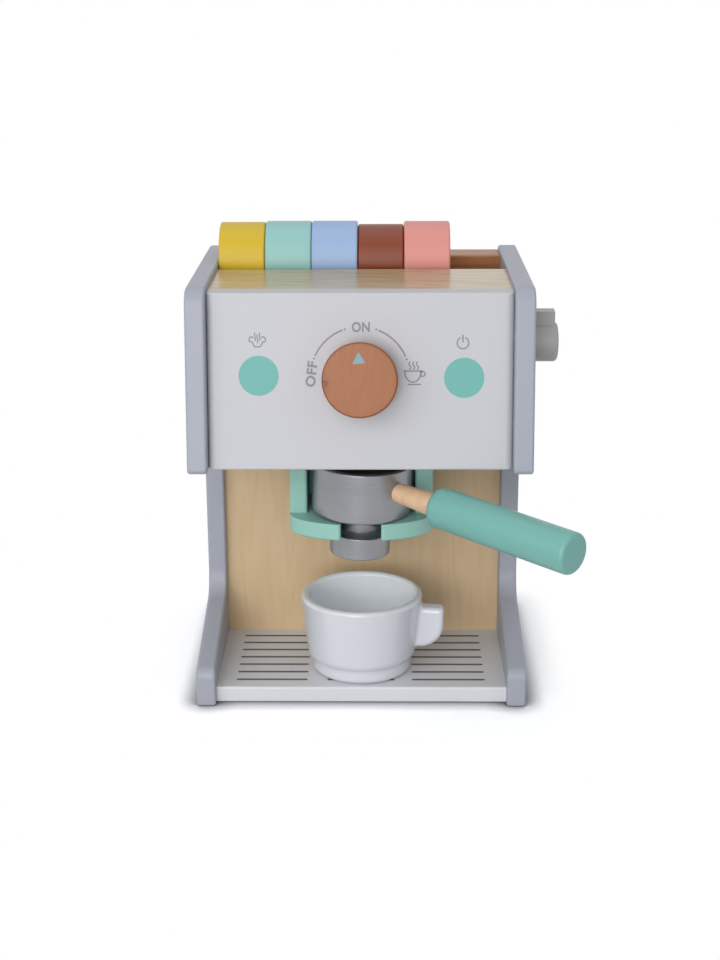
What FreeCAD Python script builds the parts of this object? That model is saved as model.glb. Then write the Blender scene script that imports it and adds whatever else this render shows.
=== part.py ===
import FreeCAD
import Part
import math
import os

# Toy coffee maker in painted boards and natural wood, with capsules, portafilter and cup.
# Frame: X to the right, Y to the back, Z up, origin under the middle of the case.
# All lengths are millimetres and all angles degrees.

# Case
CASE_WIDTH = 181.0
CASE_DEPTH = 160.0
CASE_HEIGHT = 230.9
SIDE_THICK = 10.5
SIDE_EDGE_ROUND = 1.5
HEAD_UNDERSIDE = 135.4
HEAD_LEAN = 8.0
COLUMN_DEPTH = 71.5
FOOT_SETBACK = 7.5
FOOT_NOSE_HEIGHT = 20.5
FOOT_BEND_HEIGHT = 38.5
BOTTOM_CORNER_RADIUS = 1.0
FOOT_NOSE_RADIUS = 6.0
FOOT_BEND_RADIUS = 14.0
HEAD_CORNER_RADIUS = 8.0
HEAD_LIP_RADIUS = 2.5
TOP_CORNER_RADIUS = 10.0

# Boards between the sides
BASE_THICK = 9.1
BASE_SETBACK = 12.7
BASE_EDGE_ROUND = 1.2
BACK_PANEL_THICK = 6.0
BACK_PANEL_RECESS = 6.0
FRONT_PANEL_THICK = 11.0
FRONT_PANEL_RECESS = 7.0
FRONT_PANEL_SIDE_ROUND = 4.0
FRONT_PANEL_EDGE_ROUND = 1.0
FRONT_PANEL_TOP_DROP = 2.9
FRONT_PANEL_LIFT = 0.8
TOP_BOARD_THICK = 9.5
TOP_BOARD_DROP = 3.2
TRAY_OPENING = 45.0
TRAY_FLOOR_THICK = 6.0
TRAY_FLOOR_LAP = 7.0
TRAY_DEPTH = 18.0
BATTEN_DEPTH = 12.0
RAIL_DEPTH = 20.0
RAIL_DROP = 3.4
RAIL_EDGE_ROUND = 1.0
HEAD_FLOOR_THICK = 8.0
HEAD_FLOOR_LIFT = 1.6
REAR_COVER_THICK = 4.0
REAR_COVER_LIFT = 0.5

# Dowels and screws
DOWEL_DIAMETER = 5.0
DOWEL_LENGTH = 24.0
DOWEL_IN_SIDE = 7.0
GLUE_GAP = 0.03
HOLE_BOTTOM_GAP = 0.5
COVER_SCREW_SHANK = 3.0
COVER_SCREW_HEAD = 6.0
COVER_SCREW_LENGTH = 14.0
COVER_SCREW_INSET = 22.0
BRACKET_SCREW_SHANK = 3.5
BRACKET_SCREW_HEAD = 7.0
BRACKET_SCREW_LENGTH = 24.0
BRACKET_SCREW_INSET = 10.0
CROSS_WIDTH = 0.8
CROSS_DEPTH = 1.0

# Dial
DIAL_DIAMETER = 39.1
DIAL_BACK_DIAMETER = 36.4
DIAL_LENGTH = 18.0
DIAL_ROUND = 1.2
DIAL_DROP = 46.0
DIAL_STANDOFF = 0.4
DIAL_SHAFT_DIAMETER = 8.0
DIAL_SHAFT_IN_KNOB = 11.0
DIAL_RUNNING_GAP = 0.08
DIAL_WASHER_DIAMETER = 18.0
DIAL_STOP_RADIUS = 13.0
DIAL_STOP_PIN = 3.0
DIAL_STOP_DEPTH = 3.0
DIAL_STOP_GAP = 0.4
DIAL_TURN = 90.0
WASHER_THICK = 1.5
WASHER_GAP = 0.3
END_SCREW_SHANK = 3.0
END_SCREW_HEAD = 7.0
END_SCREW_LENGTH = 12.0

# Steam knob on the right side
STEAM_DIAMETER = 21.4
STEAM_LENGTH = 15.2
STEAM_ROUND = 2.5
STEAM_DROP = 35.6
STEAM_SETBACK = 51.0
STEAM_LEVER_RISE = 17.2
STEAM_LEVER_WIDTH = 9.0
STEAM_LEVER_LENGTH = 12.9
STEAM_SHAFT_DIAMETER = 8.0
STEAM_SHAFT_IN_KNOB = 10.0
STEAM_RUNNING_GAP = 0.08
STEAM_STANDOFF = 0.4
STEAM_WASHER_DIAMETER = 16.0

# Bracket that holds the portafilter
BRACKET_WIDTH = 78.5
BRACKET_WALL_THICK = 9.7
BRACKET_WALL_FRONT = 38.5
BRACKET_REAR_GAP = 13.0
BRACKET_BACK_THICK = 9.0
BRACKET_ROUND = 1.5
BRACKET_WALL_HEIGHT = 35.0
FORK_THICK = 9.5
FORK_NOSE = 21.5
FORK_SLOT_WIDTH = 21.8

# Portafilter
FILTER_SETBACK = 41.8
FILTER_AZIMUTH = 47.0
FILTER_DROOP = 2.9
FILTER_SEAT_GAP = 0.3
BASKET_DIAMETER = 54.6
BASKET_TOP_GAP = 6.8
BASKET_WALL = 4.0
BASKET_FLOOR = 5.5
BASKET_FOOT_ROUND = 1.6
BASKET_RIM_OUTER_ROUND = 0.8
BASKET_RIM_INNER_ROUND = 1.3
NECK_DIAMETER = 20.0
SPOUT_DIAMETER = 33.3
SPOUT_GAP_BELOW_FORK = 2.6
SPOUT_HEIGHT = 12.4
SPOUT_COVE_DROP = 1.5
SPOUT_EDGE_ROUND = 0.6
SPOUT_BORE_DIAMETER = 8.0
SPOUT_BORE_DEPTH = 7.0
FILTER_SCREW_SHANK = 3.5
FILTER_SCREW_HEAD = 7.0
FILTER_SCREW_LENGTH = 15.0
HANDLE_RISE = 16.4
HANDLE_DOWEL_DIAMETER = 10.6
HANDLE_COLLAR_DIAMETER = 12.8
HANDLE_TENON_DIAMETER = 10.0
HANDLE_TENON_LENGTH = 26.0
GRIP_START = 53.9
GRIP_LENGTH = 90.5
GRIP_DIAMETER = 22.0
GRIP_NEAR_ROUND = 4.5
GRIP_FAR_ROUND = 2.3

# Capsules
CAPSULE_LENGTH = 25.7
CAPSULE_PITCH = 25.9
CAPSULE_SIDE_GAP = 0.2
CAPSULE_ROUND = 1.2
CAPSULE_SEAT_GAP = 0.3
TRAY_CAPSULES = {
    "capsule_yellow": 40.4,
    "capsule_mint": 41.0,
    "capsule_blue": 41.0,
    "capsule_brown": 39.1,
    "capsule_pink": 40.8,
}
FILTER_CAPSULE_DIAMETER = 40.0
FILTER_CAPSULE_SINK = 3.7

# Cup
CUP_SETBACK = 42.5
CUP_RIM_RADIUS = 33.9
CUP_HEIGHT = 45.2
CUP_LIP_WIDTH = 4.6
CUP_BELLY_RADIUS = 30.6
CUP_BELLY_HEIGHT = 13.5
CUP_FOOT_RADIUS = 27.8
CUP_FOOT_HEIGHT = 7.2
CUP_FOOT_ROUND = 3.4
CUP_FOOT_STEP = 0.6
CUP_CREASE_HEIGHT = 2.4
CUP_FLOOR_THICK = 6.0
CUP_WALL_THICK = 3.6
EAR_REACH = 46.5
EAR_THICK = 9.8
EAR_TURN = 7.0
EAR_TOP_DROP = 6.8
EAR_HEIGHT = 23.8
EAR_CURVE = 13.5
EAR_ROUND = 2.8
EAR_ROOT_ROUND = 2.0

Vector = FreeCAD.Vector
X_AXIS = Vector(1, 0, 0)
Y_AXIS = Vector(0, 1, 0)
Z_AXIS = Vector(0, 0, 1)

# Places worked out from the driving dimensions
front_y = -CASE_DEPTH / 2
rear_y = CASE_DEPTH / 2
inner_x = CASE_WIDTH / 2 - SIDE_THICK
lean_slope = math.tan(math.radians(HEAD_LEAN))
column_y = rear_y - COLUMN_DEPTH
foot_y = front_y + FOOT_SETBACK
back_panel_y = column_y + BACK_PANEL_RECESS
panel_run = FRONT_PANEL_THICK / math.cos(math.radians(HEAD_LEAN))
panel_bottom_z = HEAD_UNDERSIDE + FRONT_PANEL_LIFT
panel_top_z = CASE_HEIGHT - FRONT_PANEL_TOP_DROP
top_board_z = CASE_HEIGHT - TOP_BOARD_DROP
rail_top_z = CASE_HEIGHT - RAIL_DROP
tray_floor_z = top_board_z - TRAY_DEPTH
head_floor_z = HEAD_UNDERSIDE + HEAD_FLOOR_LIFT
filter_y = front_y + FILTER_SETBACK
cup_y = front_y + CUP_SETBACK
basket_radius = BASKET_DIAMETER / 2
dial_radius = DIAL_DIAMETER / 2
dial_height = CASE_HEIGHT - DIAL_DROP
steam_height = CASE_HEIGHT - STEAM_DROP
fork_top_z = head_floor_z - BRACKET_WALL_HEIGHT
fork_low_z = fork_top_z - FORK_THICK
basket_height = BRACKET_WALL_HEIGHT - BASKET_TOP_GAP
filter_capsule_height = basket_height - BASKET_FLOOR - FILTER_CAPSULE_SINK


def face_y(height):
    """Y of the leaning front panel's face at a height."""
    return front_y + FRONT_PANEL_RECESS + (height - HEAD_UNDERSIDE) * lean_slope


rail_rear_y = rear_y - REAR_COVER_THICK - 1.3
rail_front_y = rail_rear_y - RAIL_DEPTH
top_board_rear_y = rail_front_y - TRAY_OPENING


def rounded_outline(points, radii, plane_x):
    """Closed wire in a plane X = constant through (y, z) corners, each rounded by its radius."""
    count = len(points)
    starts = []
    ends = []
    mids = []
    for i in range(count):
        corner = Vector(plane_x, points[i][0], points[i][1])
        before = Vector(plane_x, *points[i - 1])
        after = Vector(plane_x, *points[(i + 1) % count])
        to_before = (before - corner).normalize()
        to_after = (after - corner).normalize()
        half = to_before.getAngle(to_after) / 2
        run = radii[i] / math.tan(half)
        middle = (to_before + to_after).normalize()
        centre = corner + middle * (radii[i] / math.sin(half))
        starts.append(corner + to_before * run)
        ends.append(corner + to_after * run)
        mids.append(centre - middle * radii[i])
    edges = []
    for i in range(count):
        edges.append(Part.Arc(starts[i], mids[i], ends[i]).toShape())
        edges.append(Part.LineSegment(ends[i], starts[(i + 1) % count]).toShape())
    return Part.Wire(edges)


def polygon_prism(points, width):
    """Prism of a (y, z) outline, centred on X = 0."""
    corners = [Vector(-width / 2, y, z) for y, z in points]
    corners.append(corners[0])
    return Part.Face(Part.makePolygon(corners)).extrude(Vector(width, 0, 0))


def block(x0, x1, y0, y1, z0, z1):
    """Box between two corners."""
    return Part.makeBox(x1 - x0, y1 - y0, z1 - z0, Vector(x0, y0, z0))


def rod(radius, start, end):
    """Cylinder from one point to another."""
    run = end - start
    return Part.makeCylinder(radius, run.Length, start, run)


def turned(profile):
    """Solid turned about Z from a closed list of edges in the XZ plane."""
    return Part.Face(Part.Wire(profile)).revolve(Vector(0, 0, 0), Z_AXIS, 360)


def line(a, b):
    """Edge in the XZ plane between two (r, z) points."""
    return Part.LineSegment(Vector(a[0], 0, a[1]), Vector(b[0], 0, b[1])).toShape()


def arc(a, m, b):
    """Arc in the XZ plane through three (r, z) points."""
    spots = [Vector(p[0], 0, p[1]) for p in (a, m, b)]
    return Part.Arc(*spots).toShape()


def edges_where(shape, test):
    """Edges of a shape whose every vertex passes a test."""
    return [e for e in shape.Edges if all(test(v.Point) for v in e.Vertexes)]


def level_edges(shape, test):
    """Straight edges along X whose ends pass a test."""
    return [e for e in edges_where(shape, test) if e.BoundBox.XLength > 0.9 * e.Length]


def upright_edges(shape, test):
    """Edges that run up a shape and whose ends pass a test."""
    return [e for e in edges_where(shape, test) if e.BoundBox.ZLength > 0.9 * e.Length]


def softened(shape, radius, edges):
    """Shape with a fillet on some edges, or as it was where the fillet can't be made."""
    try:
        round_one = shape.makeFillet(radius, edges)
    except Exception:
        return shape
    if round_one.isValid() and len(round_one.Solids) == 1:
        return round_one
    return shape


def near(a, b):
    """Whether two lengths are the same."""
    return abs(a - b) < 1e-4


def screw(shank, head, length):
    """Countersunk screw along -Z with the top of its head at Z = 0."""
    head_height = (head - shank) / 2
    tip = shank
    profile = [
        line((0, 0), (head / 2, 0)),
        line((head / 2, 0), (shank / 2, -head_height)),
        line((shank / 2, -head_height), (shank / 2, -length + tip)),
        line((shank / 2, -length + tip), (0, -length)),
        line((0, -length), (0, 0)),
    ]
    body = turned(profile)
    arm = head * 0.3
    for long_x, long_y in ((arm, CROSS_WIDTH / 2), (CROSS_WIDTH / 2, arm)):
        body = body.cut(block(-long_x, long_x, -long_y, long_y, -CROSS_DEPTH, CROSS_DEPTH))
    return body


def screw_pocket(shank, head, length):
    """Space that a countersunk screw needs, a glue gap larger than the screw."""
    grown = GLUE_GAP
    head_height = (head - shank) / 2
    pocket = Part.makeCylinder(shank / 2 + grown, length + grown, Vector(0, 0, -length - grown))
    cone = Part.makeCone(shank / 2 + grown, head / 2 + grown, head_height, Vector(0, 0, -head_height))
    mouth = Part.makeCylinder(head / 2 + grown, length, Vector(0, 0, 0))
    return pocket.fuse(cone).fuse(mouth)


def placed(shape, base, turn_axis, turn):
    """Copy of a shape turned about the origin and then moved."""
    moved = shape.copy()
    place = FreeCAD.Placement(base, FreeCAD.Rotation(turn_axis, turn))
    moved.Placement = place.multiply(shape.Placement)
    return moved


def cut_all(shape, tools):
    """Shape with every tool cut out of it."""
    for tool in tools:
        shape = shape.cut(tool)
    return shape


# Dowels that join each board to the two sides
def dowel_spots():
    """(y, z) of each dowel's axis, the same on both sides."""
    base_z = BASE_THICK / 2
    top_z = top_board_z - TOP_BOARD_THICK / 2
    floor_z = head_floor_z + HEAD_FLOOR_THICK / 2
    rail_z = (rail_top_z + tray_floor_z) / 2
    rail_y = (rail_front_y + rail_rear_y) / 2
    base_front = front_y + BASE_SETBACK
    floor_front = face_y(head_floor_z) + panel_run
    top_front = face_y(top_board_z) + panel_run
    inset = 3 * DOWEL_DIAMETER
    spots = [
        (base_front + inset, base_z),
        ((base_front + rail_rear_y) / 2, base_z),
        (rail_rear_y - inset, base_z),
        (top_front + inset, top_z),
        (top_board_rear_y - inset, top_z),
        (floor_front + inset, floor_z),
        (back_panel_y - inset, floor_z),
        (rail_y, rail_z),
    ]
    panel_height = panel_top_z - panel_bottom_z
    for share in (0.25, 0.75):
        height = panel_bottom_z + share * panel_height
        spots.append((face_y(height) + panel_run / 2, height))
    return spots


def side_dowels(side):
    """Dowels on one side, side being -1 or 1."""
    outer = side * (inner_x + DOWEL_IN_SIDE)
    inner = side * (inner_x + DOWEL_IN_SIDE - DOWEL_LENGTH)
    return [rod(DOWEL_DIAMETER / 2, Vector(inner, y, z), Vector(outer, y, z)) for y, z in dowel_spots()]


def dowel_holes():
    """Blind holes for all dowels, through every board they pass."""
    holes = []
    reach = DOWEL_IN_SIDE + HOLE_BOTTOM_GAP
    for side in (-1, 1):
        outer = side * (inner_x + reach)
        inner = side * (inner_x + DOWEL_IN_SIDE - DOWEL_LENGTH - HOLE_BOTTOM_GAP)
        for y, z in dowel_spots():
            holes.append(rod(DOWEL_DIAMETER / 2 + GLUE_GAP, Vector(inner, y, z), Vector(outer, y, z)))
    return holes


# Frames of the dial and the steam knob
def on_dial(shape):
    """Shape moved from the dial's own frame, +Z out of the panel and +Y up it, to its place."""
    base = Vector(0, face_y(dial_height), dial_height)
    return placed(shape, base, X_AXIS, 90 - HEAD_LEAN)


def on_steam(shape):
    """Shape moved from the steam knob's own frame, +Z outwards and -X up, to its place."""
    base = Vector(CASE_WIDTH / 2, front_y + STEAM_SETBACK, steam_height)
    return placed(shape, base, Y_AXIS, 90)


def make_side(side):
    """C-shaped side panel with its dowel holes, and the steam knob's hole on the right."""
    head_top_y = front_y + (CASE_HEIGHT - HEAD_UNDERSIDE) * lean_slope
    points = [
        (rear_y, 0.0),
        (foot_y, 0.0),
        (foot_y, FOOT_NOSE_HEIGHT),
        (column_y, FOOT_BEND_HEIGHT),
        (column_y, HEAD_UNDERSIDE),
        (front_y, HEAD_UNDERSIDE),
        (head_top_y, CASE_HEIGHT),
        (rear_y, CASE_HEIGHT),
    ]
    radii = [
        BOTTOM_CORNER_RADIUS,
        BOTTOM_CORNER_RADIUS,
        FOOT_NOSE_RADIUS,
        FOOT_BEND_RADIUS,
        HEAD_CORNER_RADIUS,
        HEAD_LIP_RADIUS,
        TOP_CORNER_RADIUS,
        TOP_CORNER_RADIUS,
    ]
    start = inner_x if side > 0 else -CASE_WIDTH / 2
    panel = Part.Face(rounded_outline(points, radii, start)).extrude(Vector(SIDE_THICK, 0, 0))
    rims = [e for e in panel.Edges if near(e.BoundBox.XLength, 0)]
    panel = panel.makeFillet(SIDE_EDGE_ROUND, rims)
    panel = cut_all(panel, dowel_holes())
    if side > 0:
        radius = STEAM_SHAFT_DIAMETER / 2 + STEAM_RUNNING_GAP
        panel = panel.cut(on_steam(Part.makeCylinder(radius, 3 * SIDE_THICK, Vector(0, 0, -2 * SIDE_THICK))))
    return panel


def make_base():
    """Base board under the cup, rounded along its front edge."""
    front = front_y + BASE_SETBACK
    board = block(-inner_x, inner_x, front, rail_rear_y, 0, BASE_THICK)
    rims = edges_where(board, lambda p: near(p.y, front))
    rims = [e for e in rims if e.BoundBox.XLength > 1]
    board = board.makeFillet(BASE_EDGE_ROUND, rims)
    return cut_all(board, dowel_holes() + cover_pockets())


def make_back_panel():
    """Plywood panel behind the cup, standing on the base under the tray."""
    top = tray_floor_z - TRAY_FLOOR_THICK
    return block(-inner_x, inner_x, back_panel_y, back_panel_y + BACK_PANEL_THICK, BASE_THICK, top)


def make_front_panel():
    """Leaning front panel with the dial's hole and the groove of its stop."""
    low = face_y(panel_bottom_z)
    high = face_y(panel_top_z)
    points = [
        (low, panel_bottom_z),
        (high, panel_top_z),
        (high + panel_run, panel_top_z),
        (low + panel_run, panel_bottom_z),
    ]
    panel = polygon_prism(points, 2 * inner_x)

    def on_face(p):
        return near(p.y, face_y(p.z))

    panel = panel.makeFillet(FRONT_PANEL_SIDE_ROUND, upright_edges(panel, on_face))
    panel = panel.makeFillet(FRONT_PANEL_EDGE_ROUND, level_edges(panel, on_face))
    radius = DIAL_SHAFT_DIAMETER / 2 + DIAL_RUNNING_GAP
    hole = Part.makeCylinder(radius, 4 * FRONT_PANEL_THICK, Vector(0, 0, -2 * FRONT_PANEL_THICK))
    return cut_all(panel, [on_dial(hole), on_dial(stop_groove())] + dowel_holes())


def stop_groove():
    """Arc-shaped groove in which the dial's stop pin runs, in the dial's frame."""
    half = DIAL_STOP_PIN / 2 + DIAL_STOP_GAP
    depth = DIAL_STOP_DEPTH
    ring = Part.makeCylinder(DIAL_STOP_RADIUS + half, 2 * depth, Vector(0, 0, -depth))
    ring = ring.cut(Part.makeCylinder(DIAL_STOP_RADIUS - half, 2 * depth, Vector(0, 0, -depth)))
    start = 90 - DIAL_TURN
    wedge_reach = 2 * dial_radius
    corners = [Vector(0, 0, -depth)]
    steps = 8
    for i in range(steps + 1):
        angle = math.radians(start + 2 * DIAL_TURN * i / steps)
        corners.append(Vector(wedge_reach * math.cos(angle), wedge_reach * math.sin(angle), -depth))
    corners.append(corners[0])
    wedge = Part.Face(Part.makePolygon(corners)).extrude(Vector(0, 0, 2 * depth))
    groove = ring.common(wedge)
    for angle in (start, start + 2 * DIAL_TURN):
        spot = Vector(DIAL_STOP_RADIUS * math.cos(math.radians(angle)),
                      DIAL_STOP_RADIUS * math.sin(math.radians(angle)), -depth)
        groove = groove.fuse(Part.makeCylinder(half, 2 * depth, spot))
    return groove


def make_top_board():
    """Natural wood board on top of the head."""
    front = face_y(top_board_z) + panel_run
    low = top_board_z - TOP_BOARD_THICK
    front_low = face_y(low) + panel_run
    points = [
        (front_low, low),
        (front, top_board_z),
        (top_board_rear_y, top_board_z),
        (top_board_rear_y, low),
    ]
    return cut_all(polygon_prism(points, 2 * inner_x), dowel_holes())


def make_batten():
    """Batten on the tray floor, under the top board's rear edge."""
    top = top_board_z - TOP_BOARD_THICK
    return block(-inner_x, inner_x, top_board_rear_y - BATTEN_DEPTH, top_board_rear_y, tray_floor_z, top)


def make_tray_floor():
    """Floor of the capsule tray, on the back panel and under batten and rail."""
    front = top_board_rear_y - BATTEN_DEPTH - TRAY_FLOOR_LAP
    low = tray_floor_z - TRAY_FLOOR_THICK
    return block(-inner_x, inner_x, front, rail_rear_y, low, tray_floor_z)


def make_rail():
    """Rear rail of the capsule tray."""
    rail = block(-inner_x, inner_x, rail_front_y, rail_rear_y, tray_floor_z, rail_top_z)
    rims = edges_where(rail, lambda p: near(p.z, rail_top_z))
    rims = [e for e in rims if e.BoundBox.XLength > 1]
    rail = rail.makeFillet(RAIL_EDGE_ROUND, rims)
    return cut_all(rail, dowel_holes() + cover_pockets())


def make_head_floor():
    """Board that closes the head underneath and carries the bracket."""
    high = head_floor_z + HEAD_FLOOR_THICK
    low_front = face_y(head_floor_z) + panel_run
    high_front = face_y(high) + panel_run
    points = [
        (low_front, head_floor_z),
        (high_front, high),
        (back_panel_y, high),
        (back_panel_y, head_floor_z),
    ]
    return cut_all(polygon_prism(points, 2 * inner_x), dowel_holes() + bracket_pockets())


def cover_screw_spots():
    """(x, z) of the rear cover's screws: a row in the base and a row in the rail."""
    rows = (BASE_THICK / 2, (rail_top_z + tray_floor_z) / 2)
    reach = inner_x - COVER_SCREW_INSET
    return [(x, z) for z in rows for x in (-reach, 0.0, reach)]


def on_cover(shape, spot):
    """Shape moved from a screw's own frame to a place on the rear cover's outside."""
    return placed(shape, Vector(spot[0], rail_rear_y + REAR_COVER_THICK, spot[1]), X_AXIS, -90)


def cover_pockets():
    """Holes for the rear cover's screws."""
    tool = screw_pocket(COVER_SCREW_SHANK, COVER_SCREW_HEAD, COVER_SCREW_LENGTH)
    return [on_cover(tool, spot) for spot in cover_screw_spots()]


def make_rear_cover():
    """Plywood cover that closes the back."""
    high = rail_top_z - REAR_COVER_LIFT
    outer = rail_rear_y + REAR_COVER_THICK
    return cut_all(block(-inner_x, inner_x, rail_rear_y, outer, REAR_COVER_LIFT, high), cover_pockets())


def make_cover_screws():
    """Screws of the rear cover."""
    one = screw(COVER_SCREW_SHANK, COVER_SCREW_HEAD, COVER_SCREW_LENGTH)
    return Part.makeCompound([on_cover(one, spot) for spot in cover_screw_spots()])


# Bracket
wall_front_y = front_y + BRACKET_WALL_FRONT
bracket_rear_y = back_panel_y - BRACKET_REAR_GAP
bracket_half = BRACKET_WIDTH / 2
wall_inner_x = bracket_half - BRACKET_WALL_THICK


def bracket_screw_spots():
    """(x, y) of the screws through the head floor into the bracket's walls."""
    x = bracket_half - BRACKET_WALL_THICK / 2
    ys = (wall_front_y + BRACKET_SCREW_INSET, bracket_rear_y - BRACKET_SCREW_INSET)
    return [(side * x, y) for side in (-1, 1) for y in ys]


def on_head_floor(shape, spot):
    """Shape moved from a screw's own frame to a place on the head floor's top."""
    return placed(shape, Vector(spot[0], spot[1], head_floor_z + HEAD_FLOOR_THICK), Z_AXIS, 0)


def bracket_pockets():
    """Holes for the bracket's screws."""
    tool = screw_pocket(BRACKET_SCREW_SHANK, BRACKET_SCREW_HEAD, BRACKET_SCREW_LENGTH)
    return [on_head_floor(tool, spot) for spot in bracket_screw_spots()]


def make_bracket_screws():
    """Screws that hold the bracket under the head floor."""
    one = screw(BRACKET_SCREW_SHANK, BRACKET_SCREW_HEAD, BRACKET_SCREW_LENGTH)
    return Part.makeCompound([on_head_floor(one, spot) for spot in bracket_screw_spots()])


def make_bracket_wall(side):
    """One side wall of the bracket, rounded along its upright front edges."""
    x0, x1 = sorted((side * wall_inner_x, side * bracket_half))
    wall = block(x0, x1, wall_front_y, bracket_rear_y, fork_top_z, head_floor_z)
    rims = edges_where(wall, lambda p: near(p.y, wall_front_y))
    rims = [e for e in rims if e.BoundBox.ZLength > 1]
    return cut_all(wall.makeFillet(BRACKET_ROUND, rims), bracket_pockets())


def make_bracket_back():
    """Back of the bracket, between its side walls."""
    front = bracket_rear_y - BRACKET_BACK_THICK
    return block(-wall_inner_x, wall_inner_x, front, bracket_rear_y, fork_top_z, head_floor_z)


def make_fork():
    """Fork under the bracket: half-oval nose and a slot for the spout's neck."""
    low = fork_low_z
    body = block(-bracket_half, bracket_half, wall_front_y, bracket_rear_y, low, fork_top_z)
    oval = Part.Ellipse(Vector(0, wall_front_y, low), bracket_half, FORK_NOSE).toShape()
    nose = Part.Face(Part.Wire([oval])).extrude(Vector(0, 0, FORK_THICK))
    plate = body.fuse(nose).removeSplitter()
    slot_half = FORK_SLOT_WIDTH / 2
    slot = block(-slot_half, slot_half, wall_front_y - 2 * FORK_NOSE, filter_y, low - 1, fork_top_z + 1)
    slot = slot.fuse(Part.makeCylinder(slot_half, FORK_THICK + 2, Vector(0, filter_y, low - 1)))
    plate = plate.cut(slot)

    def in_nose(p):
        return p.y < wall_front_y - 1 and abs(p.x) < bracket_half - 1

    bottom = [e for e in plate.Edges if near(e.BoundBox.ZMin, low) and near(e.BoundBox.ZMax, low)]
    bottom = [e for e in bottom if e.BoundBox.YMin < bracket_rear_y - 1]
    lips = [e for e in edges_where(plate, in_nose) if e.BoundBox.ZLength > FORK_THICK - 1]
    return plate.makeFillet(BRACKET_ROUND, bottom + lips)


# Portafilter, in its own frame: +Z up its axis from the basket's underside, handle along +X
seat_radius = basket_radius - BASKET_FOOT_ROUND
droop = math.radians(FILTER_DROOP)
seat_rise = seat_radius * math.sin(droop) + BASKET_FOOT_ROUND * (1 - math.cos(droop))
filter_z = fork_top_z + seat_rise + FILTER_SEAT_GAP
neck_drop = filter_z - fork_low_z + SPOUT_GAP_BELOW_FORK - seat_rise
cavity_radius = basket_radius - BASKET_WALL


def on_filter(shape):
    """Shape moved from the portafilter's own frame to its drooping place in the fork."""
    tilt = FreeCAD.Rotation(Y_AXIS, FILTER_DROOP)
    swing = FreeCAD.Rotation(Z_AXIS, FILTER_AZIMUTH - 90)
    moved = shape.copy()
    place = FreeCAD.Placement(Vector(0, filter_y, filter_z), swing.multiply(tilt))
    moved.Placement = place.multiply(shape.Placement)
    return moved


def quarter(centre, radius, start):
    """Quarter arc about a centre in the XZ plane, from a start angle, counter-clockwise."""
    spots = []
    for step in (0, 45, 90):
        angle = math.radians(start + step)
        spots.append((centre[0] + radius * math.cos(angle), centre[1] + radius * math.sin(angle)))
    return arc(*spots)


def make_basket():
    """Turned basket with a round cavity and a hole for the handle's dowel."""
    r = basket_radius
    foot = BASKET_FOOT_ROUND
    outer = BASKET_RIM_OUTER_ROUND
    inner = BASKET_RIM_INNER_ROUND
    top = basket_height
    profile = [
        line((0, 0), (r - foot, 0)),
        quarter((r - foot, foot), foot, -90),
        line((r, foot), (r, top - outer)),
        quarter((r - outer, top - outer), outer, 0),
        line((r - outer, top), (cavity_radius + inner, top)),
        quarter((cavity_radius + inner, top - inner), inner, 90),
        line((cavity_radius, top - inner), (cavity_radius, BASKET_FLOOR)),
        line((cavity_radius, BASKET_FLOOR), (0, BASKET_FLOOR)),
        line((0, BASKET_FLOOR), (0, 0)),
    ]
    basket = turned(profile)
    hole = HANDLE_DOWEL_DIAMETER / 2 + GLUE_GAP
    basket = basket.cut(rod(hole, Vector(0, 0, HANDLE_RISE), Vector(2 * r, 0, HANDLE_RISE)))
    return on_filter(basket.cut(filter_screw_pocket()))


def filter_screw_pocket():
    """Hole for the screw through the basket's floor, in the portafilter's frame."""
    tool = screw_pocket(FILTER_SCREW_SHANK, FILTER_SCREW_HEAD, FILTER_SCREW_LENGTH)
    tool.translate(Vector(0, 0, BASKET_FLOOR))
    return tool


def make_spout():
    """Turned spout: a neck through the fork, a cove, and a wide lower ring."""
    neck = NECK_DIAMETER / 2
    wide = SPOUT_DIAMETER / 2
    edge = SPOUT_EDGE_ROUND
    low = -neck_drop - SPOUT_HEIGHT
    cove_top = -neck_drop + SPOUT_COVE_DROP
    bore = SPOUT_BORE_DIAMETER / 2
    lip = wide - edge
    cove_mid = (neck + (lip - neck) * 0.22, -neck_drop + SPOUT_COVE_DROP * 0.22)
    profile = [
        line((0, 0), (neck, 0)),
        line((neck, 0), (neck, cove_top)),
        arc((neck, cove_top), cove_mid, (lip, -neck_drop)),
        quarter((lip, -neck_drop - edge), edge, 0),
        line((wide, -neck_drop - edge), (wide, low + edge)),
        quarter((lip, low + edge), edge, -90),
        line((lip, low), (bore, low)),
        line((bore, low), (bore, low + SPOUT_BORE_DEPTH)),
        line((bore, low + SPOUT_BORE_DEPTH), (0, low + SPOUT_BORE_DEPTH)),
        line((0, low + SPOUT_BORE_DEPTH), (0, 0)),
    ]
    return on_filter(turned(profile).cut(filter_screw_pocket()))


def make_filter_screw():
    """Screw that joins basket and spout."""
    one = screw(FILTER_SCREW_SHANK, FILTER_SCREW_HEAD, FILTER_SCREW_LENGTH)
    one.translate(Vector(0, 0, BASKET_FLOOR))
    return on_filter(one)


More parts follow.
